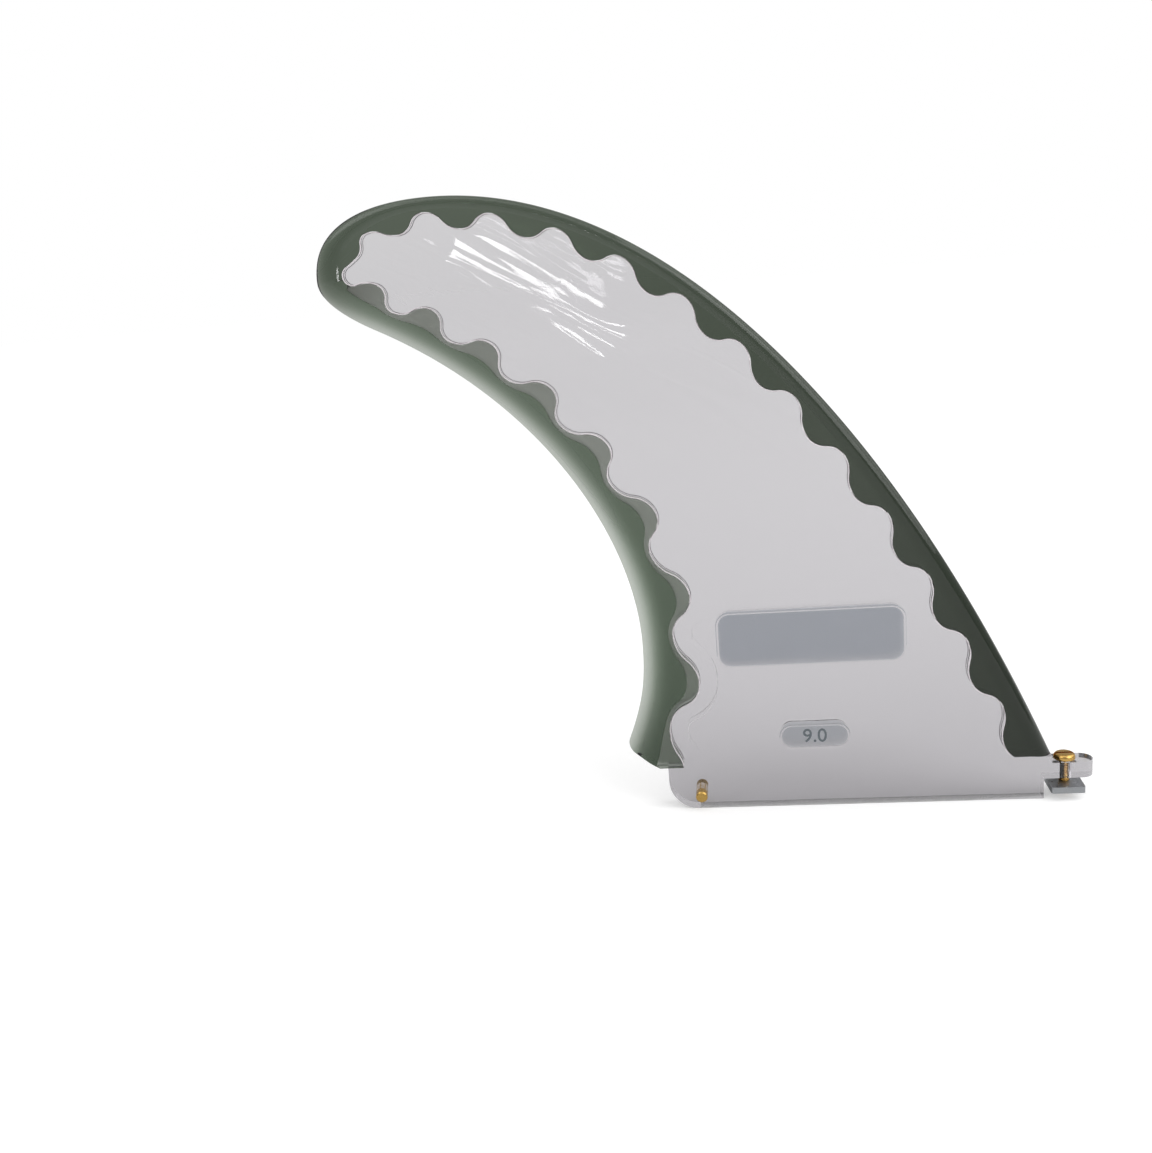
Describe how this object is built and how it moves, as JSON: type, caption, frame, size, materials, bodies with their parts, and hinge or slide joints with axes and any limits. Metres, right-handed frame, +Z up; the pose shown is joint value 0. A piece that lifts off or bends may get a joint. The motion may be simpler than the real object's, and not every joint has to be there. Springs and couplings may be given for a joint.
{
  "type": "longboard centre fin",
  "caption": "Raked longboard centre fin for a slot fin box: hard clear core with scalloped edges, soft tinted rim, tab, cross pin, screw and plate.",
  "frame": {"origin": "middle of the tab's foot face, 18 mm below the board's surface", "axes": "+Z up the blade's depth, +X towards the leading edge and the screw, +Y across the thickness"},
  "size_m": [0.2863, 0.0174, 0.247],
  "materials": {
    "clear_core": "clear hard plastic, polished",
    "soft_edge": "smoke-green translucent soft urethane, glossy",
    "pin_brass": "plain turned",
    "screw_brass": "bright, slotted head",
    "plate_steel": "plain pressed"
  },
  "bodies": {
    "root": {"fin_core": "clear_core", "flex_edge": "soft_edge", "cross_pin": "pin_brass", "fin_screw": "screw_brass", "screw_plate": "plate_steel"}
  },
  "joints": []
}
